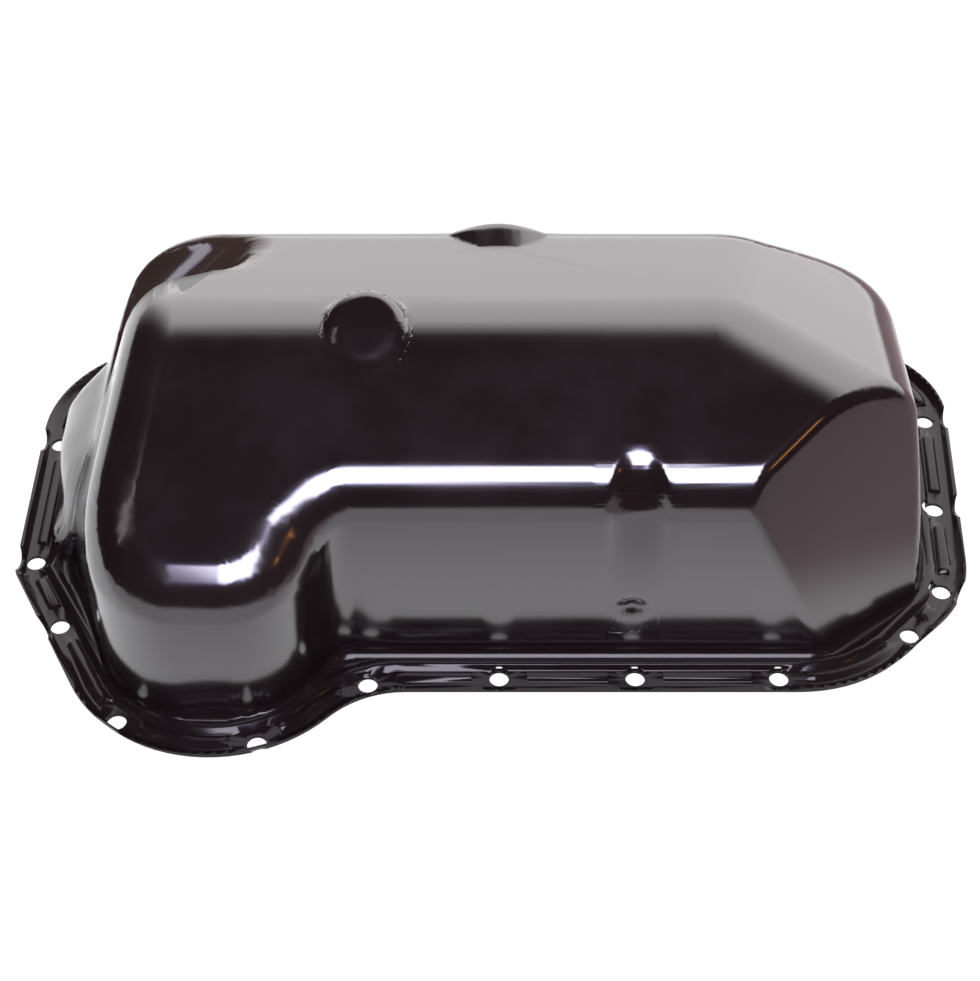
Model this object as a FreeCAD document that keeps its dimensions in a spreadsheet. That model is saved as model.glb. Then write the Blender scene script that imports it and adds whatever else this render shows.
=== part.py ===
import FreeCAD, Part
import math
import os
import Sketcher

# Engine oil pan, lying with its gasket face down and its sump up.
# X runs along the engine, Y across it, Z away from the block. Millimetres and degrees.

V = FreeCAD.Vector
doc = FreeCAD.newDocument("oil_pan")
sheet = doc.addObject("Spreadsheet::Sheet", "Sizes")
aliases = []


def size(alias, value):
    row = len(aliases) + 1
    sheet.set(f"A{row}", alias)
    sheet.set(f"B{row}", str(value))
    sheet.setAlias(f"B{row}", alias)
    aliases.append(alias)


# Sheet, and the flange outline as the corners that its arcs round off
size("gauge", 1.5)
size("edge_left", 216.4)
size("edge_back", 128.95)
size("edge_front", 93.75)
size("left_front_y", 25.6)
size("lobe_tip_x", 137.4)
size("lobe_tip_y", 177)
size("neck_x", 57.8)
size("front_corner_x", 156.7)
size("right_corner_x", 209)
size("right_corner_y", 40.95)
size("right_back_x", 219.6)
size("left_front_r", 15)
size("lobe_tip_r", 69)
size("neck_r", 42)
size("front_corner_r", 68)
size("right_corner_r", 60)
size("right_back_r", 50)
size("left_back_r", 62)

# Turned rim, beads and rib of the flange, insets measured from its edge
size("rim_height", 5)
size("rim_flare", 26)
size("scoop_low", 2.4)
size("scoop_r", 12)
size("bead_inset", 6.5)
size("bead_width", 6)
size("bead_height", 1.6)
size("bead_gap", 12)
size("rib_inset", 12.9)
size("rib_width", 6.4)
size("rib_lean", 38)
size("bead_lean", 40)
size("rib_clear", 5.8)
size("rib_height", 2.4)
size("hole_bore", 8.4)

# Screw holes that stand in pairs across the pan, and the rest
size("pair_front_y", 85)
size("pair_back_y", 119.2)
size("pair_1_x", -160.8)
size("pair_2_x", -100.9)
size("pair_3_x", -55.9)
size("pair_4_x", 0.2)
size("pair_5_x", 58.5)
size("pair_6_x", 120.1)
size("lobe_left_hole_y", 108.6)
size("lobe_right_hole_y", 120.2)
size("neck_hole_y", 88.5)
size("left_hole_x", 208.5)
size("left_hole_back_y", 59.8)
size("left_hole_front_y", 17.2)
size("flank_hole_x", 192.2)
size("flank_hole_y", 55.4)
size("corner_hole_x", 179.5)
size("corner_hole_y", 60.7)
size("corner_back_hole_y", 115.5)
size("right_hole_1_x", 197.3)
size("right_hole_1_y", 35)
size("right_hole_2_x", 201.8)
size("right_hole_2_y", 16.3)
size("right_hole_3_x", 206)
size("right_hole_3_y", 75.8)

# Sump walls where they meet the gasket plane
size("front_y", 71.5)
size("front_lean", 83.65)
size("back_y", 106.9)
size("back_lean", 87.5)
size("left_x", 199)
size("left_lean", 70)
size("right_x", 191)
size("right_lean", 82)
size("lobe_y", 107.5)
size("lobe_lean", 85)
size("flank_x", 192)
size("flank_y", 11.6)
size("flank_heading", 198.5)
size("flank_lean", 89)
size("cheek_x", 71)
size("cheek_heading", -27.8)
size("cheek_lean", 88)

# Sump floor: front slope, crease, rear slope, end slope, corner facet
size("crease_y", 9.75)
size("crease_z", 123)
size("front_slope", 25)
size("rear_slope", 11.5)
size("end_x", 105.6)
size("end_y", 5.5)
size("end_z", 121.1)
size("end_heading", 23.4)
size("end_slope", 21.4)
size("facet_x", 114.9)
size("facet_y", -48)
size("facet_z", 96.1)
size("facet_heading", -54.6)
size("facet_lean", 70.1)

# Press radii on the outside of the sheet
size("root_r", 16)
size("lobe_r", 40)
size("flank_r", 90)
size("left_back_wall_r", 45)
size("right_wall_r", 56)
size("crease_r", 60)
size("brow_r", 28)
size("facet_r", 10)
size("base_r", 6)

# Round pad on the crease
size("pad_x", -56)
size("pad_y", 4.4)
size("pad_r", 19.75)
size("pad_lift", 1.2)
size("pad_round", 4.5)

# Drain boss on the back wall, with its nut, washer and plug
size("boss_x", 0)
size("boss_y", 98)
size("boss_z", 74.1)
size("boss_tilt", 16)
size("boss_r", 42)
size("boss_round", 4)
size("boss_depth", 60)
size("plug_thread_r", 7)
size("plug_hole_r", 7.4)
size("plug_head_r", 12)
size("plug_flange_h", 2)
size("plug_flats", 19)
size("plug_hex_h", 8)
size("plug_reach", 16)
size("washer_r", 11.5)
size("washer_h", 1.6)
size("nut_r", 12.5)
size("nut_h", 8)

# Shoulder low on the left wall
size("shoulder_x", 203.5)
size("shoulder_lean", 84)
size("shoulder_front", 14)
size("shoulder_back", 68)
size("shoulder_z", 60)
size("shoulder_end_lean", 76)
size("shoulder_top_lean", 12)
size("shoulder_r", 10)

# Tool groove up the front wall, and the diagonal flute in the back left corner
size("groove_x", 58)
size("groove_r", 20)
size("groove_depth", 5)
size("groove_low", 16)
size("flute_r", 17)
size("flute_x", 110)
size("flute_y", 84)
size("flute_z", 128)
size("flute_heading", 217)
size("flute_fall", 27)

doc.recompute()


def cell(expression):
    value = sheet.evalExpression(expression)
    return float(value.Value if hasattr(value, "Value") else value)


def done(thing):
    doc.recompute()
    if thing.Shape.isNull() or not thing.Shape.isValid():
        raise ValueError(thing.Label + " has no sound shape")
    return thing


def rounded_outline(name, corners):
    """A closed sketch: straight runs between fixed corners, each corner rounded off by an arc."""
    sketch = doc.addObject("Sketcher::SketchObject", name)
    tips = [V(cell("Sizes." + x) * sx, cell("Sizes." + y) * sy, 0) for x, sx, y, sy, r in corners]
    radii = [cell("Sizes." + corner[4]) for corner in corners]
    count = len(tips)
    arcs, starts, ends, lefts = [], [], [], []
    for i, tip in enumerate(tips):
        back = (tips[i - 1] - tip).normalize()
        ahead = (tips[(i + 1) % count] - tip).normalize()
        half = back.getAngle(ahead) / 2
        run = radii[i] / math.tan(half)
        start, end = tip + back * run, tip + ahead * run
        middle = tip + (back + ahead).normalize() * (radii[i] / math.sin(half) - radii[i])
        left_turn = ahead.cross(back).z > 0
        arcs.append(Part.Arc(start, middle, end) if left_turn else Part.Arc(end, middle, start))
        starts.append(start)
        ends.append(end)
        lefts.append(left_turn)
    for i in range(count):
        sketch.addGeometry(arcs[i], False)
    for i in range(count):
        sketch.addGeometry(Part.LineSegment(ends[i], starts[(i + 1) % count]), False)
    for i in range(count):
        sketch.addGeometry(Part.Point(tips[i]), True)
    for i in range(count):
        arc, line, line_before = i, count + i, count + (i - 1) % count
        near_start, near_end = (1, 2) if lefts[i] else (2, 1)
        sketch.addConstraint(Sketcher.Constraint("Tangent", line_before, 2, arc, near_start))
        sketch.addConstraint(Sketcher.Constraint("Tangent", arc, near_end, line, 1))
        point = 2 * count + i
        x, sx, y, sy, r = corners[i]
        for kind, expression, value in (("DistanceX", f"{sx} * Sizes.{x}", tips[i].x),
                                        ("DistanceY", f"{sy} * Sizes.{y}", tips[i].y)):
            index = sketch.addConstraint(Sketcher.Constraint(kind, -1, 1, point, 1, value))
            sketch.setExpression(f"Constraints[{index}]", expression)
        index = sketch.addConstraint(Sketcher.Constraint("Radius", arc, radii[i]))
        sketch.setExpression(f"Constraints[{index}]", "Sizes." + r)
        sketch.addConstraint(Sketcher.Constraint("PointOnObject", point, 1, line))
        sketch.addConstraint(Sketcher.Constraint("PointOnObject", point, 1, line_before))
    return done(sketch)


def inset(name, expression):
    """The flange outline moved inward by a distance."""
    moved = doc.addObject("Part::Offset2D", name)
    moved.Source = outline
    moved.Join = "Intersection"
    moved.setExpression("Value", f"-({expression})")
    return done(moved)


def raised(name, profile, low, high):
    """A closed profile filled from one height to another."""
    block = doc.addObject("Part::Extrusion", name)
    block.Base = profile
    block.DirMode = "Custom"
    block.Dir = V(0, 0, 1)
    block.setExpression("LengthFwd", high)
    block.setExpression("LengthRev", f"-({low})")
    block.Solid = True
    return done(block)


def ring(name, near, far, low, high):
    """A band of the flange between two insets."""
    outer = raised(name + "Out", inset(name + "OutEdge", near) if near != "0" else outline, low, high)
    inner = raised(name + "In", inset(name + "InEdge", far), f"{low} - 2", f"{high} + 2")
    return cut(name, outer, inner)


def tapered(name, edge, width, height, lean):
    """A band raised from the flange, whose sides lean in towards its crown."""
    spread = f"Sizes.gauge * tan({lean} * 1deg)"
    top = f"Sizes.gauge + {height}"
    outer = raised(name + "Out", inset(name + "OutEdge", f"{edge} - {spread}"), "0", top)
    outer.setExpression("TaperAngle", f"-{lean}")
    inner = raised(name + "In", inset(name + "InEdge", f"{edge} + {width} + {spread}"), "0", top)
    inner.setExpression("TaperAngle", lean)
    return cut(name, done(outer), done(inner))


def joined(kind, name, pieces):
    result = doc.addObject("Part::Multi" + kind, name)
    result.Shapes = pieces
    result.Refine = True
    return done(result)


def cut(name, base, tool):
    result = doc.addObject("Part::Cut", name)
    result.Base = base
    result.Tool = tool
    result.Refine = True
    return done(result)


def pin(name, x, y, low, high, radius):
    """An upright cylinder."""
    post = doc.addObject("Part::Cylinder", name)
    post.setExpression("Radius", radius)
    post.setExpression("Height", f"({high}) - ({low})")
    post.setExpression("Placement.Base.x", x)
    post.setExpression("Placement.Base.y", y)
    post.setExpression("Placement.Base.z", low)
    return done(post)


def under(name, x, y, z, heading, lean, skin="0"):
    """The space behind one plane: a wide disc whose outward normal leans from upright to a heading."""
    block = doc.addObject("Part::Cylinder", name)
    block.Radius = 500
    block.Height = 500
    way = (f"sin({lean} * 1deg) * cos({heading} * 1deg)", f"sin({lean} * 1deg) * sin({heading} * 1deg)",
           f"cos({lean} * 1deg)")
    spot = "; ".join(f"({place}) - ({skin}) * {part}" for place, part in zip((x, y, z), way))
    turn = f"{heading}; {lean} + 180; 0"
    block.setExpression("Placement", f"create(<<placement>>; create(<<vector>>; {spot}); "
                                     f"create(<<rotation>>; {turn}))")
    return done(block)


def middle_of(edge):
    return edge.valueAt((edge.FirstParameter + edge.LastParameter) / 2)


def fold(shape, edge):
    """The angle between the two faces that meet at an edge."""
    faces = shape.ancestorsOfType(edge, Part.Face)
    if len(faces) != 2:
        return 0
    spot = middle_of(edge)
    ways = [face.normalAt(*face.Surface.parameter(spot)) for face in faces]
    return math.degrees(ways[0].getAngle(ways[1]))


def body_from(name, base):
    body = doc.addObject("PartDesign::Body", name)
    body.BaseFeature = base
    doc.recompute()
    return body


def round_off(body, name, radius, edges):
    """Rounds the picked edges of a body's last feature to one radius."""
    last = body.Tip
    picks = [f"Edge{i + 1}" for i, edge in enumerate(last.Shape.Edges) if edges(last.Shape, edge)]
    if not picks:
        raise ValueError(name + " picks no edge")
    fillet = body.newObject("PartDesign::Fillet", name)
    fillet.Base = (last, picks)
    fillet.setExpression("Radius", radius)
    body.Tip = fillet
    return done(fillet)


def nearest(*places):
    """Picks the edges that pass closest to the given places."""
    def test(shape, edge):
        for place in places:
            spot = Part.Vertex(V(*place))
            gap = edge.distToShape(spot)[0]
            if gap < 12 and gap <= min(other.distToShape(spot)[0] for other in shape.Edges) + 1e-6:
                return True
        return False
    return test


def brow(shape, edge):
    """Picks the upper edges of the walls."""
    return middle_of(edge).z > 58 and fold(shape, edge) > 30


print("sheet ready")

outline = rounded_outline("FlangeOutline", [
    ("edge_left", -1, "left_front_y", -1, "left_front_r"),
    ("lobe_tip_x", -1, "lobe_tip_y", -1, "lobe_tip_r"),
    ("neck_x", -1, "edge_front", -1, "neck_r"),
    ("front_corner_x", 1, "edge_front", -1, "front_corner_r"),
    ("right_corner_x", 1, "right_corner_y", -1, "right_corner_r"),
    ("right_back_x", 1, "edge_back", 1, "right_back_r"),
    ("edge_left", -1, "edge_back", 1, "left_back_r"),
])
print("outline", outline.Shape.BoundBox, outline.State, outline.FullyConstrained)


def formed(tag, skin, bottom):
    """The deep-drawn sump as a solid, its planes set in by a skin and its radii to match."""
    def plane(name, *place):
        return under(tag + name, *place, skin)

    def bulge(radius):
        return f"Sizes.{radius} - {skin}"

    blank = doc.addObject("Part::Box", tag + "Blank")
    blank.Length = 600
    blank.Width = 400
    blank.setExpression("Height", f"200 - ({bottom})")
    blank.setExpression("Placement.Base.x", "-300")
    blank.setExpression("Placement.Base.y", "-200")
    blank.setExpression("Placement.Base.z", bottom)
    front_floor = plane("FrontFloor", "0", "Sizes.crease_y", "Sizes.crease_z", "-90", "Sizes.front_slope")
    rear_floor = plane("RearFloor", "0", "Sizes.crease_y", "Sizes.crease_z", "90", "Sizes.rear_slope")
    end_floor = plane("EndFloor", "Sizes.end_x", "Sizes.end_y", "Sizes.end_z", "Sizes.end_heading",
                      "Sizes.end_slope")
    front = plane("Front", "0", "-Sizes.front_y", "0", "-90", "Sizes.front_lean")
    back = plane("Back", "0", "Sizes.back_y", "0", "90", "Sizes.back_lean")
    left = plane("Left", "-Sizes.left_x", "0", "0", "180", "Sizes.left_lean")
    right = plane("Right", "Sizes.right_x", "0", "0", "0", "Sizes.right_lean")
    flank = plane("Flank", "-Sizes.flank_x", "-Sizes.flank_y", "0", "Sizes.flank_heading", "Sizes.flank_lean")
    lobe_front = plane("LobeFront", "0", "-Sizes.lobe_y", "0", "-90", "Sizes.lobe_lean")
    cheek = plane("Cheek", "-Sizes.cheek_x", "-Sizes.front_y", "0", "Sizes.cheek_heading", "Sizes.cheek_lean")
    lobe_back = under(tag + "LobeBack", "0", "Sizes.crease_y", "0", "90", "90")
    trough = joined("Common", tag + "Trough", [blank, front_floor, rear_floor, end_floor, front, back, left,
                                               right, flank])
    lobe = joined("Common", tag + "Lobe", [blank, front_floor, lobe_front, flank, cheek, left, lobe_back])
    sharp = joined("Fuse", tag + "Sharp", [trough, lobe])

    body = body_from(tag + "Form", sharp)
    round_off(body, tag + "Root", f"Sizes.root_r + {skin}", nearest((-73, -67.5, 40)))
    round_off(body, tag + "FlankFold", bulge("flank_r"), nearest((-188, -21.7, 30)))
    round_off(body, tag + "LobeCorners", bulge("lobe_r"), nearest((-160, -105, 30), (-90, -105, 30)))
    round_off(body, tag + "LeftBackCorner", bulge("left_back_wall_r"), nearest((-180, 105, 52)))
    round_off(body, tag + "RightCorners", bulge("right_wall_r"), nearest((185.4, 105, 40), (185, -67, 40)))
    round_off(body, tag + "Creases", bulge("crease_r"),
              nearest((-27, 9.7, 123), (104.1, 52.6, 114.3), (134.1, -10.9, 113.4)))
    round_off(body, tag + "Brow", bulge("brow_r"), brow)

    facet = plane("Facet", "Sizes.facet_x", "Sizes.facet_y", "Sizes.facet_z", "Sizes.facet_heading",
                  "Sizes.facet_lean")
    faceted = joined("Common", tag + "Faceted", [body, facet])
    body = body_from(tag + "FacetForm", faceted)

    way = facet.Placement.Rotation.multVec(V(0, 0, 1))

    def facet_edge(shape, edge):
        spot = middle_of(edge)
        return spot.z > 5 and abs((spot - facet.Placement.Base).dot(way)) < 0.01

    round_off(body, tag + "FacetEdges", bulge("facet_r"), facet_edge)
    return body


def along_boss(name, low, high, radius):
    """A cylinder on the drain axis, measured outward from the boss face."""
    post = doc.addObject("Part::Cylinder", name)
    post.setExpression("Radius", radius)
    post.setExpression("Height", f"({high}) - ({low})")
    post.setExpression("Placement", boss_place(low))
    return done(post)


def boss_place(offset):
    return ("create(<<placement>>; create(<<vector>>; Sizes.boss_x; "
            f"Sizes.boss_y + ({offset}) * cos(Sizes.boss_tilt * 1deg); "
            f"Sizes.boss_z + ({offset}) * sin(Sizes.boss_tilt * 1deg)); "
            "create(<<rotation>>; 90; 90 - Sizes.boss_tilt; 0))")


def highest_or_top(shape, edge):
    """Picks the rim of a post's outer end."""
    return edge.Curve.TypeId != "Part::GeomLine" and middle_of(edge).z > shape.BoundBox.Center.z


def dressed(tag, skin, bottom):
    """The sump with its pad, its drain boss and its grooves."""
    form = formed(tag, skin, bottom)

    post = pin(tag + "PadPost", "Sizes.pad_x", "Sizes.pad_y", "Sizes.crease_z - 45", "Sizes.crease_z + 40",
               f"Sizes.pad_r - {skin}")
    cap = under(tag + "PadCap", "0", "Sizes.crease_y", "Sizes.crease_z + Sizes.pad_lift", "-90",
                "Sizes.front_slope", skin)
    pad = body_from(tag + "Pad", joined("Common", tag + "PadBlock", [post, cap]))
    round_off(pad, tag + "PadRim", f"Sizes.pad_round - {skin}", highest_or_top)

    post = doc.addObject("Part::Cylinder", tag + "BossPost")
    post.setExpression("Radius", f"Sizes.boss_r - {skin}")
    post.setExpression("Height", f"Sizes.boss_depth - {skin}")
    boss = body_from(tag + "Boss", done(post))
    round_off(boss, tag + "BossRim", f"Sizes.boss_round - {skin}", highest_or_top)
    boss.setExpression("Placement", boss_place("-Sizes.boss_depth"))
    done(boss)
    recess = along_boss(tag + "BossRecess", f"-({skin})", "40", f"Sizes.boss_r - Sizes.boss_round + {skin}")

    groove = doc.addObject("Part::Cylinder", tag + "ToolGroove")
    groove.setExpression("Radius", f"Sizes.groove_r + {skin}")
    groove.Height = 140
    groove.setExpression("Placement", "create(<<placement>>; create(<<vector>>; Sizes.groove_x; "
                         "-Sizes.front_y - Sizes.groove_r + Sizes.groove_depth; Sizes.groove_low); "
                         "create(<<rotation>>; 90; 90 - Sizes.front_lean; 0))")
    flute = doc.addObject("Part::Cylinder", tag + "Flute")
    flute.setExpression("Radius", f"Sizes.flute_r + {skin}")
    flute.Height = 120
    flute.setExpression("Placement", "create(<<placement>>; create(<<vector>>; -Sizes.flute_x; Sizes.flute_y; "
                        "Sizes.flute_z); create(<<rotation>>; Sizes.flute_heading; 90 + Sizes.flute_fall; 0))")
    full = joined("Fuse", tag + "Full", [form, pad, boss])
    return cut(tag + "Dressed", full, joined("Fuse", tag + "Pressed", [recess, done(groove), done(flute)]))


def shouldered(tag, skin, bottom):
    """The low step on the left wall."""
    shoulder_planes = [
        under(tag + "ShoulderSide", "-Sizes.shoulder_x", "0", "0", "180", "Sizes.shoulder_lean", skin),
        under(tag + "ShoulderFront", "0", "-Sizes.shoulder_front", "0", "-90", "Sizes.shoulder_end_lean", skin),
        under(tag + "ShoulderBack", "0", "Sizes.shoulder_back", "0", "90", "Sizes.shoulder_end_lean", skin),
        under(tag + "ShoulderTop", "-Sizes.shoulder_x", "0", "Sizes.shoulder_z", "180", "Sizes.shoulder_top_lean",
              skin),
    ]
    block = doc.addObject("Part::Box", tag + "ShoulderBlank")
    block.Length = 80
    block.Width = 200
    block.setExpression("Height", f"100 - ({bottom})")
    block.setExpression("Placement.Base.x", "-230")
    block.setExpression("Placement.Base.y", "-80")
    block.setExpression("Placement.Base.z", bottom)
    shoulder = body_from(tag + "Shoulder", joined("Common", tag + "ShoulderBlock", [block] + shoulder_planes))

    def shoulder_edge(shape, edge):
        spot = middle_of(edge)
        return spot.x < -152 and spot.z > 5

    round_off(shoulder, tag + "ShoulderRounds", f"Sizes.shoulder_r - {skin}", shoulder_edge)
    return shoulder


outer_form = dressed("Outer", "0", "0")
print("outer form", outer_form.Shape.Volume, len(outer_form.Shape.Solids))
inner_form = dressed("Inner", "Sizes.gauge", "-6")
print("inner form", inner_form.Shape.Volume, len(inner_form.Shape.Solids))


def foot_of(form, height):
    """Picks the edges where a form's walls meet a level plane."""
    def test(shape, edge):
        if max(abs(edge.BoundBox.ZMin - height), abs(edge.BoundBox.ZMax - height)) > 0.001:
            return False
        return form.Shape.distToShape(Part.Vertex(middle_of(edge)))[0] < 0.001
    return test


# The flange plate grows out of the sump through a press radius
flare = "Sizes.rim_height * tan(Sizes.rim_flare * 1deg)"
plate = raised("Plate", inset("PlateEdge", flare), "0", "Sizes.gauge")
outer_body = body_from("OuterSkin", joined("Fuse", "Skirted", [outer_form, plate]))
round_off(outer_body, "OuterFoot", "Sizes.base_r", foot_of(outer_form, cell("Sizes.gauge")))
outer_shoulder = shouldered("Outer", "0", "0")
print("outer skin", outer_body.Shape.Volume)

floor_block = doc.addObject("Part::Box", "FloorBlock")
floor_block.Length = 600
floor_block.Width = 400
floor_block.Height = 6
floor_block.Placement.Base = V(-300, -200, -6)
inner_body = body_from("InnerSkin", joined("Fuse", "Hollow", [inner_form, floor_block]))
round_off(inner_body, "InnerFoot", "Sizes.base_r + Sizes.gauge", foot_of(inner_form, 0))
inner_shoulder = shouldered("Inner", "Sizes.gauge", "-6")
print("inner skin", inner_body.Shape.Volume)

# Each screw hole: its place and the heading in which the flange edge lies
holes = [("LobeLeft", "Sizes.pair_1_x", "-Sizes.lobe_left_hole_y", -129),
         ("LobeRight", "Sizes.pair_2_x", "-Sizes.lobe_right_hole_y", -72),
         ("Neck", "Sizes.pair_3_x", "-Sizes.neck_hole_y", -71),
         ("Front4", "Sizes.pair_4_x", "-Sizes.pair_front_y", -90),
         ("Front5", "Sizes.pair_5_x", "-Sizes.pair_front_y", -90),
         ("Front6", "Sizes.pair_6_x", "-Sizes.pair_front_y", -90),
         ("Corner", "Sizes.corner_hole_x", "-Sizes.corner_hole_y", -45),
         ("Right1", "Sizes.right_hole_1_x", "-Sizes.right_hole_1_y", -22),
         ("Right2", "Sizes.right_hole_2_x", "Sizes.right_hole_2_y", -3.5),
         ("Right3", "Sizes.right_hole_3_x", "Sizes.right_hole_3_y", -3.5),
         ("BackCorner", "Sizes.corner_hole_x", "Sizes.corner_back_hole_y", 72),
         ("Back6", "Sizes.pair_6_x", "Sizes.pair_back_y", 90),
         ("Back5", "Sizes.pair_5_x", "Sizes.pair_back_y", 90),
         ("Back4", "Sizes.pair_4_x", "Sizes.pair_back_y", 90),
         ("Back3", "Sizes.pair_3_x", "Sizes.pair_back_y", 90),
         ("Back2", "Sizes.pair_2_x", "Sizes.pair_back_y", 90),
         ("Back1", "Sizes.pair_1_x", "Sizes.pair_back_y", 90),
         ("LeftBack", "-Sizes.left_hole_x", "Sizes.left_hole_back_y", 180),
         ("LeftFront", "-Sizes.left_hole_x", "-Sizes.left_hole_front_y", 180),
         ("Flank", "-Sizes.flank_hole_x", "-Sizes.flank_hole_y", 208)]


def scoop(name, x, y, heading):
    """A level cylinder over a hole that dips the turned rim beside it."""
    post = doc.addObject("Part::Cylinder", name)
    post.setExpression("Radius", "Sizes.scoop_r")
    post.Height = 12
    post.setExpression("Placement", "create(<<placement>>; create(<<vector>>; "
                                    f"{x} + 5 * cos({heading} * 1deg); {y} + 5 * sin({heading} * 1deg); "
                                    f"Sizes.scoop_low + Sizes.scoop_r); create(<<rotation>>; {heading}; 90; 0))")
    return done(post)


bores = [pin("Hole" + tag, x, y, "-1", "4", "Sizes.hole_bore / 2") for tag, x, y, heading in holes]
clears = [pin("Clear" + tag, x, y, "-2", "8", "Sizes.bead_gap") for tag, x, y, heading in holes]
inner_clears = [pin("GrooveEnd" + tag, x, y, "-2", "8", "Sizes.bead_gap + Sizes.gauge")
                for tag, x, y, heading in holes]
scoops = [scoop("Scoop" + tag, x, y, heading) for tag, x, y, heading in holes]

rim_wide = raised("RimWide", inset("RimWideEdge", flare), "0", "Sizes.rim_height")
rim_wide.setExpression("TaperAngle", "Sizes.rim_flare")
rim_core = raised("RimCore", inset("RimCoreEdge", flare + " + Sizes.gauge"), "0", "Sizes.rim_height")
rim_core.setExpression("TaperAngle", "Sizes.rim_flare")
rim_ring = cut("RimRing", done(rim_wide), done(rim_core))
rim = cut("Rim", rim_ring, joined("Fuse", "Scoops", scoops))
print("rim", rim.Shape.Volume)

rib_gaps = [pin("RibGap" + tag, x, y, "Sizes.gauge", "8", "Sizes.rib_clear") for tag, x, y, heading in holes]
rib = cut("Rib", tapered("RibBand", "Sizes.rib_inset", "Sizes.rib_width", "Sizes.rib_height", "Sizes.rib_lean"),
          joined("Fuse", "RibGaps", rib_gaps))
beads = cut("Beads", tapered("BeadBand", "Sizes.bead_inset", "Sizes.bead_width", "Sizes.bead_height",
                             "Sizes.bead_lean"), joined("Fuse", "Clears", clears))
print("rib and beads", rib.Shape.Volume, beads.Shape.Volume)

rib_groove = ring("RibGroove", "Sizes.rib_inset + Sizes.gauge", "Sizes.rib_inset + Sizes.rib_width - Sizes.gauge",
                  "-1", "Sizes.rib_height")
bead_groove = cut("BeadGroove", ring("GrooveRing", "Sizes.bead_inset + Sizes.gauge",
                                     "Sizes.bead_inset + Sizes.bead_width - Sizes.gauge", "-1",
                                     "Sizes.bead_height"), joined("Fuse", "GrooveEnds", inner_clears))
plug_hole = along_boss("PlugHole", "-Sizes.gauge - 3", "3", "Sizes.plug_hole_r")
solid = joined("Fuse", "Solid", [outer_body, outer_shoulder, rim, rib, beads])
print("solid", solid.Shape.Volume, len(solid.Shape.Solids))
tools = joined("Fuse", "Tools", [inner_body, inner_shoulder, rib_groove, bead_groove, plug_hole] + bores)
pan_shell = cut("pan_shell", solid, tools)
print("shell", pan_shell.Shape.Volume, len(pan_shell.Shape.Solids), pan_shell.Shape.BoundBox)

# Washer, plug and weld nut on the drain axis
washer_disc = along_boss("WasherDisc", "0", "Sizes.washer_h", "Sizes.washer_r")
washer_bore = along_boss("WasherBore", "-1", "Sizes.washer_h + 1", "Sizes.plug_hole_r")
drain_washer = cut("drain_washer", washer_disc, washer_bore)
plug_flange = along_boss("PlugFlange", "Sizes.washer_h", "Sizes.washer_h + Sizes.plug_flange_h", "Sizes.plug_head_r")
plug_shank = along_boss("PlugShank", "-Sizes.plug_reach", "Sizes.washer_h + 0.5", "Sizes.plug_thread_r")


def hexagon(name, low, height, flats):
    prism = doc.addObject("Part::Prism", name)
    prism.Polygon = 6
    prism.setExpression("Circumradius", f"{flats} / 2 / cos(30deg)")
    prism.setExpression("Height", height)
    prism.setExpression("Placement", boss_place(low))
    return done(prism)


plug_hex = hexagon("PlugHex", "Sizes.washer_h + Sizes.plug_flange_h - 0.2", "Sizes.plug_hex_h + 0.2",
                   "Sizes.plug_flats")
drain_plug = joined("Fuse", "drain_plug", [plug_flange, plug_shank, plug_hex])
nut_disc = along_boss("NutDisc", "-Sizes.gauge - Sizes.nut_h", "-Sizes.gauge", "Sizes.nut_r")
nut_bore = along_boss("NutBore", "-Sizes.gauge - Sizes.nut_h - 1", "-Sizes.gauge + 1", "Sizes.plug_thread_r + 0.1")
drain_nut = cut("drain_nut", nut_disc, nut_bore)

doc.recompute()
for thing in doc.Objects:
    if "Invalid" in thing.State or "Error" in thing.State:
        raise ValueError(thing.Label + " is in a bad state")
    if hasattr(thing, "Shape") and thing.Label not in ("Origin",):
        if thing.TypeId.startswith("Part") and (thing.Shape.isNull() or not thing.Shape.isValid()):
            raise ValueError(thing.Label + " has no sound shape")

os.makedirs("parts", exist_ok=True)
for node in (pan_shell, drain_washer, drain_plug, drain_nut):
    node.Shape.exportStep("parts/" + node.Label + ".step")
    print(node.Label, round(node.Shape.Volume), node.Shape.BoundBox)
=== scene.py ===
import math

import bmesh
import bpy
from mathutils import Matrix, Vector


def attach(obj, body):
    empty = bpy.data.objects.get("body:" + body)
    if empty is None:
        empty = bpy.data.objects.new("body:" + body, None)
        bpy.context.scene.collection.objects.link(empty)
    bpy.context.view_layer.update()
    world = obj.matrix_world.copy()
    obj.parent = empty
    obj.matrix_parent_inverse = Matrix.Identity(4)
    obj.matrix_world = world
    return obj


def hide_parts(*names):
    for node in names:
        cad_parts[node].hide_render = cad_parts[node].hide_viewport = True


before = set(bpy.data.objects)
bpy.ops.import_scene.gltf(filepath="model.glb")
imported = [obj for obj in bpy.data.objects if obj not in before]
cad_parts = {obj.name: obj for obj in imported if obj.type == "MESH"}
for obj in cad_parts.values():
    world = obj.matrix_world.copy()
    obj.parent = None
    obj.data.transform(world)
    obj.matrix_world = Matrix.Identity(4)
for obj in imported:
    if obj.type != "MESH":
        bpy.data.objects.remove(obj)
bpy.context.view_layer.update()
print("stage: frame loaded")


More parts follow.
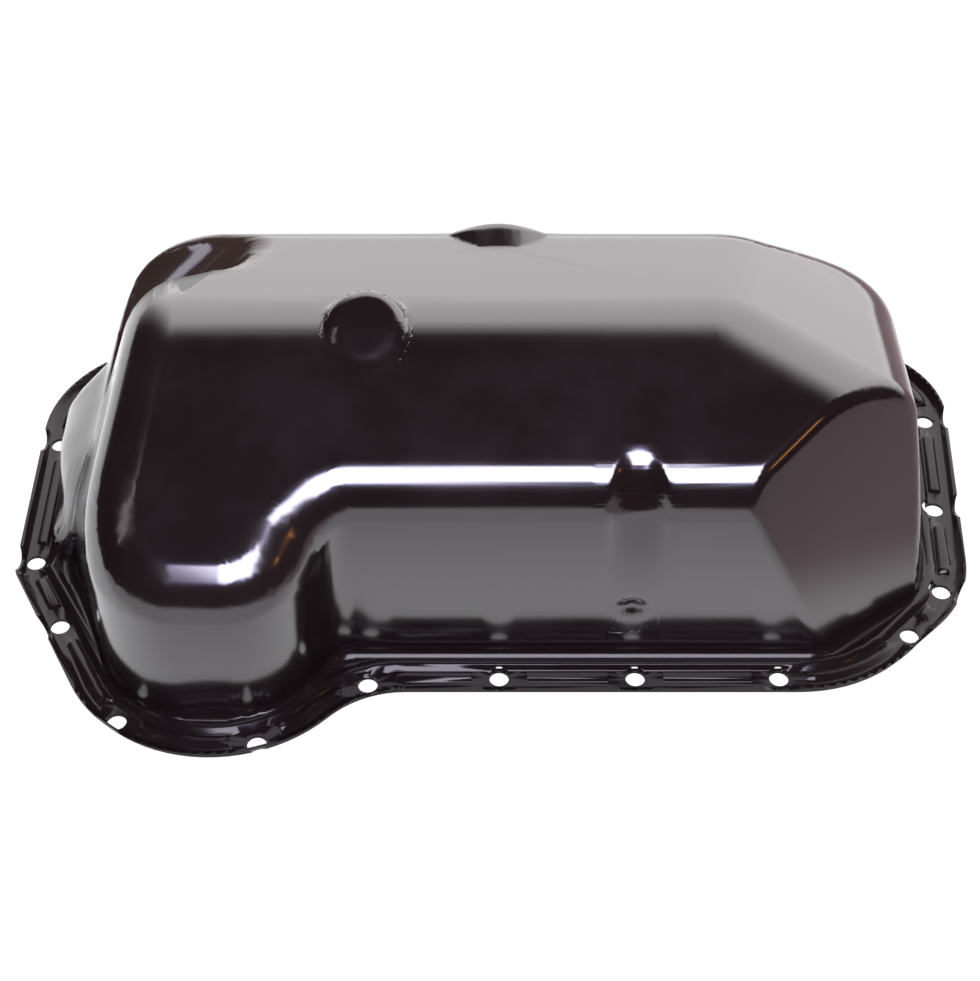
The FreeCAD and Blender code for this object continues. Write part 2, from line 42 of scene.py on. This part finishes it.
# sums of shader sockets
class Sock:
    def __init__(self, tree, out):
        self.tree = tree
        self.out = out

    def math(self, operation, *others):
        node = self.tree.nodes.new("ShaderNodeMath")
        node.operation = operation
        for slot, value in zip(node.inputs, (self,) + others):
            link(self.tree, slot, value)
        return Sock(self.tree, node.outputs[0])

    def __add__(self, other):
        return self.math("ADD", other)

    def __sub__(self, other):
        return self.math("SUBTRACT", other)

    def __mul__(self, other):
        return self.math("MULTIPLY", other)

    def __truediv__(self, other):
        return self.math("DIVIDE", other)

    def between(self, low, high):
        node = self.tree.nodes.new("ShaderNodeMapRange")
        node.interpolation_type = "SMOOTHSTEP"
        link(self.tree, node.inputs["Value"], self)
        node.inputs["From Min"].default_value = low
        node.inputs["From Max"].default_value = high
        return Sock(self.tree, node.outputs["Result"])

    def blend(self, first, second):
        node = self.tree.nodes.new("ShaderNodeMix")
        node.data_type = "RGBA"
        link(self.tree, node.inputs["Factor"], self)
        link(self.tree, node.inputs[6], first)
        link(self.tree, node.inputs[7], second)
        return Sock(self.tree, node.outputs[2])


def link(tree, slot, value):
    if isinstance(value, Sock):
        tree.links.new(value.out, slot)
    elif isinstance(value, tuple) and len(value) == 3:
        slot.default_value = (*value, 1)
    else:
        slot.default_value = value


def newMaterial(name):
    material = bpy.data.materials.new(name)
    material.use_nodes = True
    tree = material.node_tree
    tree.nodes.clear()
    output = tree.nodes.new("ShaderNodeOutputMaterial")
    shader = tree.nodes.new("ShaderNodeBsdfPrincipled")
    tree.links.new(shader.outputs[0], output.inputs["Surface"])
    return material, tree, shader


def objectPlace(tree):
    return Sock(tree, tree.nodes.new("ShaderNodeTexCoord").outputs["Object"])


def noise(tree, place, scale, detail, rough):
    node = tree.nodes.new("ShaderNodeTexNoise")
    link(tree, node.inputs["Vector"], place)
    node.inputs["Scale"].default_value = scale
    node.inputs["Detail"].default_value = detail
    node.inputs["Roughness"].default_value = rough
    return Sock(tree, node.outputs[0])


def bumped(tree, shader, height, strength, distance):
    node = tree.nodes.new("ShaderNodeBump")
    node.inputs["Strength"].default_value = strength
    node.inputs["Distance"].default_value = distance
    link(tree, node.inputs["Height"], height)
    tree.links.new(node.outputs[0], shader.inputs["Normal"])


# black gloss paint, with painted shade: a brown, less shiny flute pocket and a less shiny flange
paint = {
    "black": (0.011, 0.0065, 0.007),
    "dusty": (0.014, 0.009, 0.0095),
    "roughness": 0.13,
    "haze": 0.04,
    "hazeScale": 22.0,
    "hazeEdge": (0.35, 0.7),
    "ior": 1.9,
    "dentScale": 14.0,
    "dentDepth": 0.0004,
    "peelScale": 900.0,
    "peelShare": 0.01,
    "bump": 0.35,
    "fullShine": 0.5,
    # painted shade: the low flange gets less shine, for its darker reflection
    "flangeTop": (0.005, 0.012),
    "flangeShine": 0.11,
    # painted shade: the flute pocket gets a brown colour and less shine, standing in for its darker
    # reflection
    "flute": ((-0.110, 0.084, 0.128), (-0.7116, -0.5362, -0.4540)),
    "fluteEdge": (0.0175, 0.0235),
    "fluteShadeBrown": (0.040, 0.026, 0.021),
    "fluteShine": 0.1,
}


# mask of the flute pocket's painted shade, zero inside the pocket
def fluteShadeMask(tree, place):
    start, way = paint["flute"]
    away = tree.nodes.new("ShaderNodeVectorMath")
    away.operation = "SUBTRACT"
    link(tree, away.inputs[0], place)
    away.inputs[1].default_value = start
    turned = tree.nodes.new("ShaderNodeVectorMath")
    turned.operation = "CROSS_PRODUCT"
    tree.links.new(away.outputs[0], turned.inputs[0])
    turned.inputs[1].default_value = way
    reach = tree.nodes.new("ShaderNodeVectorMath")
    reach.operation = "LENGTH"
    tree.links.new(turned.outputs[0], reach.inputs[0])
    return Sock(tree, reach.outputs["Value"]).between(*paint["fluteEdge"])


def paintMaterial():
    material, tree, shader = newMaterial("panPaint")
    place = objectPlace(tree)
    haze = noise(tree, place, paint["hazeScale"], 4, 0.6).between(*paint["hazeEdge"])
    # painted shade: inside the flute pocket the colour turns brown
    clear = fluteShadeMask(tree, place)
    black = haze.blend(paint["black"], paint["dusty"])
    link(tree, shader.inputs["Base Color"], clear.blend(paint["fluteShadeBrown"], black))
    link(tree, shader.inputs["Roughness"], haze * paint["haze"] + paint["roughness"])
    shader.inputs["IOR"].default_value = paint["ior"]
    # painted shade: less shine on the low flange, full shine above it
    split = tree.nodes.new("ShaderNodeSeparateXYZ")
    link(tree, split.inputs[0], place)
    raised = Sock(tree, split.outputs[2]).between(*paint["flangeTop"])
    shine = raised * (paint["fullShine"] - paint["flangeShine"]) + paint["flangeShine"]
    # painted shade: less shine inside the flute pocket
    shine = shine.math("MINIMUM", clear * paint["fullShine"] + paint["fluteShine"])
    link(tree, shader.inputs["Specular IOR Level"], shine)
    dents = noise(tree, place, paint["dentScale"], 1, 0.4)
    peel = noise(tree, place, paint["peelScale"], 2, 0.5)
    bumped(tree, shader, dents + peel * paint["peelShare"], paint["bump"], paint["dentDepth"])
    return material


# bare metal of the washer, plug and nut
metal = {
    "darkening": 0.75,
    "cloudEdge": (0.3, 0.7),
    "wear": 0.12,
    "bump": 0.15,
    "grainDepth": 0.0002,
}


def metalMaterial(name, colour, roughness, grain):
    material, tree, shader = newMaterial(name)
    place = objectPlace(tree)
    cloud = noise(tree, place, grain, 4, 0.6).between(*metal["cloudEdge"])
    darker = tuple(channel * metal["darkening"] for channel in colour)
    link(tree, shader.inputs["Base Color"], cloud.blend(colour, darker))
    link(tree, shader.inputs["Roughness"], cloud * metal["wear"] + roughness)
    shader.inputs["Metallic"].default_value = 1
    bumped(tree, shader, cloud, metal["bump"], metal["grainDepth"])
    return material


materials = {
    "pan_paint": paintMaterial(),
    "washer_metal": metalMaterial("washerMetal", (0.72, 0.72, 0.73), 0.3, 300),
    "plug_metal": metalMaterial("plugMetal", (0.58, 0.57, 0.54), 0.28, 240),
    "nut_metal": metalMaterial("nutMetal", (0.32, 0.31, 0.30), 0.4, 240),
}
print("stage: materials")


# press forms, softer than the solids have them, moved on the copy alone, in millimetres
press = {
    "frontLean": 83.65,
    "frontFoot": -71.5,
    "crease": (9.75, 123.0),
    "frontSlope": 25.0,
    "rearSlope": 11.5,
    "browRadius": 28.0,
    "creaseRadius": 60.0,
    "gauge": 1.5,
    "sliceSlack": 0.001,
    "sliceWeld": 0.0005,
}
grooveForm = {
    "region": ((38, -80, 12), (78, -30, 112)),
    "step": 1.6,
    "middle": 57.5,
    "halfWidth": 13.5,
    "narrowing": 0.45,
    "narrowFrom": 6.0,
    "depth": 4.0,
    "low": -54.0,
    "risePower": 1.7,
    "deepest": 9.0,
    "fallFrom": 14.0,
    "high": 36.0,
    "dimple": (56.7, 28.0, 5.6, 3.2, 1.8),
}
padForm = {
    "region": ((-78, -18, 100), (-34, 32, 136)),
    "step": 1.4,
    "solidMiddle": (-56.0, 4.4),
    "middle": (-56.0, 6.0),
    "radius": 19.75,
    "lift": 1.2,
    "rim": 10.0,
    "edge": 0.05,
    "weld": 0.02,
    "rounds": 9,
    "merge": (-16.0, 6.0),
}
cornerForm = {
    "centre": (132.0, 50.0),
    "radius": 56.0,
    "push": 7.4,
    "reachFrom": 8.0,
    "rise": (10.0, 42.0),
    "fall": 0.36,
    "fallBand": (52.0, 84.0),
}
shoulderForm = {
    "wall": (-199.0, 70.0),
    "wallWay": (-0.94, 0.34),
    "front": (-22.0, 26.0),
    "back": (46.0, 86.0),
    "top": (30.0, 66.0),
}
bossForm = {
    "halfWidth": 36.0,
    "start": (83.0, 14.0),
    "ramp": 11.0,
    "lift": 4.2,
}
softForms = {
    "shoulder": {"region": ((-212, -34, 9), (-150, 88, 78)), "step": 3.0, "rounds": 26},
    "flute": {"region": ((-205, 52, 66), (-84, 112, 126)), "step": 3.0, "rounds": 26},
    "bossTop": {"region": ((-44, 74, 84), (44, 112, 116)), "step": 2.0, "rounds": 3},
}


def ease(value, low, high):
    part = min(1, max(0, (value - low) / (high - low)))
    return part * part * (3 - 2 * part)


def centreOf(face):
    return face.calc_center_median()


def span(face, axis):
    values = [corner.co[axis] for corner in face.verts]
    return min(values), max(values)


# dict.fromkeys keeps one order, so that each run cuts the mesh alike
def sliced(mesh, faces, axis, at):
    slack = press["sliceSlack"]
    crossing = []
    rest = []
    for face in faces:
        near, far = span(face, axis)
        (crossing if near < at - slack and far > at + slack else rest).append(face)
    if not crossing:
        return faces
    parts = dict.fromkeys(crossing)
    for face in crossing:
        parts.update(dict.fromkeys(face.edges))
        parts.update(dict.fromkeys(face.verts))
    place = [0, 0, 0]
    way = [0, 0, 0]
    place[axis] = at
    way[axis] = 1
    found = bmesh.ops.bisect_plane(
        mesh, geom=list(parts), dist=press["sliceWeld"], plane_co=place, plane_no=way)
    return rest + [item for item in found["geom"] if isinstance(item, bmesh.types.BMFace)]


def touches(face, low, high):
    spans = [span(face, axis) for axis in range(3)]
    return all(near < b and far > a for (near, far), a, b in zip(spans, low, high))


def gridded(mesh, low, high, step):
    faces = [face for face in mesh.faces if touches(face, low, high)]
    for axis in range(3):
        for at in (low[axis], high[axis]):
            faces = sliced(mesh, faces, axis, at)
        faces = [face for face in faces if low[axis] < centreOf(face)[axis] < high[axis]]
    for axis in range(3):
        count = max(1, round((high[axis] - low[axis]) / step))
        for index in range(1, count):
            faces = sliced(mesh, faces, axis, low[axis] + (high[axis] - low[axis]) * index / count)
    return faces


def freeCorners(faces):
    inside = set(faces)
    corners = dict.fromkeys(corner for face in faces for corner in face.verts)
    return [corner for corner in corners if all(face in inside for face in corner.link_faces)]


def wallAndFloor():
    lean = math.radians(press["frontLean"])
    slope = math.radians(press["frontSlope"])
    wallWay = (-math.sin(lean), math.cos(lean))
    floorWay = (-math.sin(slope), math.cos(slope))
    creaseY, creaseZ = press["crease"]
    wallReach = wallWay[0] * press["frontFoot"] - press["browRadius"]
    floorReach = floorWay[0] * creaseY + floorWay[1] * creaseZ - press["browRadius"]
    crossed = wallWay[0] * floorWay[1] - wallWay[1] * floorWay[0]
    centre = ((wallReach * floorWay[1] - wallWay[1] * floorReach) / crossed,
              (wallWay[0] * floorReach - floorWay[0] * wallReach) / crossed)
    return wallWay, floorWay, centre


browLines = wallAndFloor()


def browPlace(y, z):
    wallWay, floorWay, centre = browLines
    radius = press["browRadius"]
    away = (y - centre[0], z - centre[1])
    turn = math.atan2(away[1], -away[0])
    first = math.atan2(wallWay[1], -wallWay[0])
    last = math.atan2(floorWay[1], -floorWay[0])
    if turn < first or turn > last:
        way = wallWay if turn < first else floorWay
        along = away[0] * way[1] - away[1] * way[0]
        base = (centre[0] + way[0] * radius + way[1] * along,
                centre[1] + way[1] * radius - way[0] * along)
        travel = -abs(along) if turn < first else radius * (last - first) + abs(along)
    else:
        reach = math.hypot(*away)
        way = (away[0] / reach, away[1] / reach)
        base = (centre[0] + way[0] * radius, centre[1] + way[1] * radius)
        travel = radius * (turn - first)
    return base, way, travel


def grooveDepth(x, z, travel):
    form = grooveForm
    narrowed = form["narrowing"] * ease(travel, form["narrowFrom"], form["high"])
    sideways = min(1, abs(x - form["middle"]) / (form["halfWidth"] * (1 - narrowed)))
    climb = (travel - form["low"]) / (form["deepest"] - form["low"])
    rise = max(0, min(1, climb)) ** form["risePower"]
    fall = 1 - ease(travel, form["fallFrom"], form["high"])
    x0, z0, wide, tall, depth = form["dimple"]
    dimple = depth * math.exp(-((x - x0) / wide) ** 2 - ((z - z0) / tall) ** 2)
    return form["depth"] * (1 - sideways ** 2) * rise * fall + dimple


def pressGroove(mesh):
    faces = gridded(mesh, *grooveForm["region"], grooveForm["step"])
    mesh.normal_update()
    for corner in freeCorners(faces):
        x, y, z = corner.co
        base, way, travel = browPlace(y, z)
        outer = corner.normal.y * way[0] + corner.normal.z * way[1] > 0
        depth = grooveDepth(x, z, travel) + (0 if outer else press["gauge"])
        corner.co = (x, base[0] - way[0] * depth, base[1] - way[1] * depth)


def crestHeight(y):
    creaseY, creaseZ = press["crease"]
    radius = press["creaseRadius"]
    front = math.radians(press["frontSlope"])
    rear = math.radians(press["rearSlope"])
    reach = radius * math.tan((front + rear) / 2)
    start = creaseY - reach * math.cos(front)
    end = creaseY + reach * math.cos(rear)
    if y <= start:
        return creaseZ + (y - creaseY) * math.tan(front)
    if y >= end:
        return creaseZ - (y - creaseY) * math.tan(rear)
    centreY = start + radius * math.sin(front)
    centreZ = creaseZ + (start - creaseY) * math.tan(front) - radius * math.cos(front)
    return centreZ + math.sqrt(radius ** 2 - (y - centreY) ** 2)


def padHeight(reach, y):
    form = padForm
    creaseY, creaseZ = press["crease"]
    cap = creaseZ + (y - creaseY) * math.tan(math.radians(press["frontSlope"])) + form["lift"]
    into = max(0, reach - (form["radius"] - form["rim"]))
    top = cap - form["rim"] + math.sqrt(max(0, form["rim"] ** 2 - into ** 2))
    ground = crestHeight(y)
    return ground + max(0, top - ground) * ease(y, *form["merge"])


def smoothed(mesh, corners, rounds):
    for _ in range(rounds):
        bmesh.ops.smooth_vert(
            mesh, verts=corners, factor=0.5, use_axis_x=True, use_axis_y=True, use_axis_z=True)


def pressPad(mesh):
    form = padForm
    faces = gridded(mesh, *form["region"], form["step"])
    mesh.normal_update()
    thick = press["gauge"] / math.cos(math.radians(press["frontSlope"]))
    for corner in freeCorners(faces):
        x, y, _ = corner.co
        reach = math.hypot(x - form["middle"][0], y - form["middle"][1])
        solidReach = math.hypot(x - form["solidMiddle"][0], y - form["solidMiddle"][1])
        reached = min(reach, solidReach) - form["radius"]
        outer = corner.normal.z > 0
        if outer and reached < form["edge"]:
            corner.co.z = padHeight(reach, y)
        elif not outer and reached < form["edge"] - press["gauge"]:
            corner.co.z = padHeight(reach + press["gauge"] * reach / form["radius"], y) - thick
    bmesh.ops.remove_doubles(mesh, verts=freeCorners(faces), dist=form["weld"])
    smoothed(mesh, freeCorners([face for face in faces if face.is_valid]), form["rounds"])


def fillCorner(mesh):
    form = cornerForm
    for corner in mesh.verts:
        x, y, z = corner.co
        aside = (x - form["centre"][0], y - form["centre"][1])
        if min(aside) <= 0 or z < form["rise"][0]:
            continue
        turn = math.atan2(aside[1], aside[0])
        push = form["push"] * math.sin(2 * turn) ** 2
        push *= ease(math.hypot(*aside), form["reachFrom"], form["radius"])
        push *= ease(z, *form["rise"])
        corner.co.x += push * math.cos(turn)
        corner.co.y += push * math.sin(turn)
        corner.co.z -= push * form["fall"] * ease(z, *form["fallBand"])


def taperShoulder(corners):
    form = shoulderForm
    foot, lean = form["wall"]
    for corner in corners:
        x, y, z = corner.co
        wall = foot + z / math.tan(math.radians(lean))
        if corner.normal.x * form["wallWay"][0] + corner.normal.z * form["wallWay"][1] < 0:
            wall += press["gauge"] / math.sin(math.radians(lean))
        if x < wall:
            keep = ease(y, *form["front"]) * (1 - ease(y, *form["back"]))
            keep *= 1 - ease(z, *form["top"])
            corner.co.x = wall + (x - wall) * keep


def liftBoss(corners):
    form = bossForm
    for corner in corners:
        aside = (corner.co.x / form["halfWidth"]) ** 2
        if aside < 1:
            start = form["start"][0] + form["start"][1] * aside
            corner.co.z += form["lift"] * (1 - aside) * ease(corner.co.y, start, start + form["ramp"])


def soften(mesh, name, form):
    faces = gridded(mesh, *form["region"], form["step"])
    mesh.normal_update()
    corners = freeCorners(faces)
    if name == "shoulder":
        taperShoulder(corners)
    if name == "bossTop":
        liftBoss(corners)
    smoothed(mesh, corners, form["rounds"])


def pressForms(piece):
    mesh = bmesh.new()
    mesh.from_mesh(piece.data)
    bmesh.ops.scale(mesh, vec=(1000, 1000, 1000), verts=mesh.verts)
    pressGroove(mesh)
    pressPad(mesh)
    fillCorner(mesh)
    for name, form in softForms.items():
        soften(mesh, name, form)
    bmesh.ops.scale(mesh, vec=(0.001, 0.001, 0.001), verts=mesh.verts)
    mesh.to_mesh(piece.data)
    print("stage: press forms", len(mesh.faces))
    mesh.free()


# smooth copies of the CAD pieces
smoothPieces = {
    "pan_shell": ("pan_paint", 32),
    "drain_washer": ("washer_metal", 30),
    "drain_plug": ("plug_metal", 30),
    "drain_nut": ("nut_metal", 30),
}
seamWeld = 0.000002


def deselectAll():
    for thing in bpy.context.selected_objects:
        thing.select_set(False)


def smoothCopy(nodeName, slotName, sharpAngle):
    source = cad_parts[nodeName]
    piece = source.copy()
    piece.data = source.data.copy()
    piece.name = nodeName + "Smooth"
    bpy.context.scene.collection.objects.link(piece)
    piece.data.materials.clear()
    piece.data.materials.append(materials[slotName])
    deselectAll()
    piece.select_set(True)
    bpy.context.view_layer.objects.active = piece
    bpy.ops.object.mode_set(mode="EDIT")
    bpy.ops.mesh.select_all(action="SELECT")
    bpy.ops.mesh.remove_doubles(threshold=seamWeld)
    bpy.ops.object.mode_set(mode="OBJECT")
    if nodeName == "pan_shell":
        pressForms(piece)
    bpy.ops.object.shade_smooth_by_angle(angle=math.radians(sharpAngle))
    weighted = piece.modifiers.new("Weighted", "WEIGHTED_NORMAL")
    weighted.keep_sharp = True
    bpy.ops.object.modifier_apply(modifier=weighted.name)
    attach(piece, "root")
    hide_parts(nodeName)


for nodeName, (slotName, sharpAngle) in smoothPieces.items():
    smoothCopy(nodeName, slotName, sharpAngle)
print("stage: smooth pieces")


# floor: white to the camera, a graded glow to the paint's reflections
room = {
    "floorSize": 6.0,
    "matt": (0.8, 0.8, 0.8),
    "shadowed": (0.2, 0.2, 0.2),
    "glow": 0.9,
    "nearGlow": 1.35,
    "farGlow": 0.72,
    "nearBand": (-0.21, -0.10),
    "warm": (0.27, 0.16, 0.17),
    "warmBand": (0.17, 0.31),
    "rimShade": (0.35, 0.95),
    "rimReach": 0.02,
}


def floorMaterial():
    material = bpy.data.materials.new("whiteFloor")
    material.use_nodes = True
    tree = material.node_tree
    tree.nodes.clear()
    output = tree.nodes.new("ShaderNodeOutputMaterial")
    paths = tree.nodes.new("ShaderNodeLightPath")
    kinds = ("Camera", "Glossy", "Transmission")
    camera, glossy, through = (Sock(tree, paths.outputs[f"Is {kind} Ray"]) for kind in kinds)
    seen = camera.math("MAXIMUM", glossy).math("MAXIMUM", through)
    glow = tree.nodes.new("ShaderNodeEmission")
    split = tree.nodes.new("ShaderNodeSeparateXYZ")
    link(tree, split.inputs[0], objectPlace(tree))
    across, along, _ = (Sock(tree, out) for out in split.outputs)
    near = along.between(*room["nearBand"]) * (room["nearGlow"] - room["farGlow"]) + room["farGlow"]
    shade = tree.nodes.new("ShaderNodeAmbientOcclusion")
    shade.inputs["Distance"].default_value = room["rimReach"]
    near = near * Sock(tree, shade.outputs["AO"]).between(*room["rimShade"])
    tint = across.between(*room["warmBand"]).blend((1, 1, 1), room["warm"])
    link(tree, glow.inputs["Color"], camera.blend(tint, (1, 1, 1)))
    link(tree, glow.inputs["Strength"], near + camera * room["glow"] - camera * near)
    matt = tree.nodes.new("ShaderNodeBsdfDiffuse")
    link(tree, matt.inputs["Color"], room["matt"])
    shadowed = tree.nodes.new("ShaderNodeBsdfDiffuse")
    link(tree, shadowed.inputs["Color"], room["shadowed"])
    both = tree.nodes.new("ShaderNodeAddShader")
    tree.links.new(glow.outputs[0], both.inputs[0])
    tree.links.new(shadowed.outputs[0], both.inputs[1])
    mix = tree.nodes.new("ShaderNodeMixShader")
    link(tree, mix.inputs[0], seen)
    tree.links.new(matt.outputs[0], mix.inputs[1])
    tree.links.new(both.outputs[0], mix.inputs[2])
    tree.links.new(mix.outputs[0], output.inputs["Surface"])
    return material


deselectAll()
bpy.ops.mesh.primitive_plane_add(size=room["floorSize"], location=(0, 0, 0))
floor = bpy.context.active_object
floor.name = "whiteFloor"
floor.data.materials.append(floorMaterial())

# room: white to the camera, a dark ceiling and a bright back wall to reflections
sky = {
    "ceiling": (0.022, 0.012, 0.012),
    "backWall": (2.75, 2.62, 2.68),
    "fadeTop": (0.945, 0.76),
    "backEdge": (0.15, 0.5),
    "leftEdge": (-0.72, -0.30),
    "zenithGuard": 0.0001,
}


def roomWorld():
    world = bpy.data.worlds.new("room")
    bpy.context.scene.world = world
    world.use_nodes = True
    tree = world.node_tree
    tree.nodes.clear()
    output = tree.nodes.new("ShaderNodeOutputWorld")
    paths = tree.nodes.new("ShaderNodeLightPath")
    split = tree.nodes.new("ShaderNodeSeparateXYZ")
    tree.links.new(tree.nodes.new("ShaderNodeTexCoord").outputs["Generated"], split.inputs[0])
    across, along, up = (Sock(tree, out) for out in split.outputs)
    level = (across * across + along * along).math("SQRT") + sky["zenithGuard"]
    glow = up.between(*sky["fadeTop"])
    glow = glow * (along / level).between(*sky["backEdge"])
    glow = glow * (across / level).between(*sky["leftEdge"])
    seen = tree.nodes.new("ShaderNodeBackground")
    link(tree, seen.inputs["Color"], glow.blend(sky["ceiling"], sky["backWall"]))
    white = tree.nodes.new("ShaderNodeBackground")
    link(tree, white.inputs["Color"], (1, 1, 1))
    pick = tree.nodes.new("ShaderNodeMixShader")
    tree.links.new(paths.outputs["Is Camera Ray"], pick.inputs[0])
    tree.links.new(seen.outputs[0], pick.inputs[1])
    tree.links.new(white.outputs[0], pick.inputs[2])
    tree.links.new(pick.outputs[0], output.inputs["Surface"])


roomWorld()


# lamps
lampTarget = (0, 0, 0.05)


def panel(name, place, size, strength, colour):
    lamp = bpy.data.lights.new(name, "AREA")
    lamp.shape = "RECTANGLE"
    lamp.size, lamp.size_y = size
    lamp.energy = strength * size[0] * size[1] * math.pi
    lamp.color = colour
    thing = bpy.data.objects.new(name, lamp)
    thing.location = place
    thing.rotation_euler = (Vector(lampTarget) - Vector(place)).to_track_quat("-Z", "Y").to_euler()
    bpy.context.scene.collection.objects.link(thing)


def aimed(distance, elevation, heading):
    flat = distance * math.cos(math.radians(elevation))
    return (flat * math.cos(math.radians(heading)), flat * math.sin(math.radians(heading)),
            distance * math.sin(math.radians(elevation)))


panels = {
    "frontBox": (aimed(1.6, 57, -84), (0.80, 0.75), 12.0, (1, 1, 1)),
    "violetEdge": (aimed(1.66, 57, -84), (0.93, 0.92), 2.4, (0.25, 0.12, 1.0)),
    "leftStreak": (aimed(1.6, 50, 188), (0.035, 0.8), 4.0, (1, 0.93, 0.95)),
    "ridgeGlow": (aimed(1.6, 34, -32), (0.15, 0.15), 4.5, (1, 0.42, 0.12)),
}
for name, (place, size, strength, colour) in panels.items():
    panel(name, place, size, strength, colour)
print("stage: lamps")

# camera, as the photograph's
view = {
    "sensorWidth": 36,
    "imageWidth": 980,
    "imageHeight": 981,
    "focalPixels": 2100,
    "centreColumn": 487,
    "place": (-0.005, -0.66435, 0.6948),
    "downTilt": 45,
}
camera = bpy.data.cameras.new("photoView")
camera.sensor_fit = "HORIZONTAL"
camera.sensor_width = view["sensorWidth"]
camera.lens = view["focalPixels"] / view["imageWidth"] * camera.sensor_width
camera.shift_x = (view["imageWidth"] / 2 - view["centreColumn"]) / view["imageWidth"]
holder = bpy.data.objects.new("photoView", camera)
holder.location = view["place"]
holder.rotation_euler = (math.radians(90 - view["downTilt"]), 0, 0)
bpy.context.scene.collection.objects.link(holder)

scene = bpy.context.scene
scene.camera = holder
scene.render.engine = "CYCLES"
scene.render.resolution_x = view["imageWidth"]
scene.render.resolution_y = view["imageHeight"]
scene.view_settings.view_transform = "Standard"

print("stage: done")
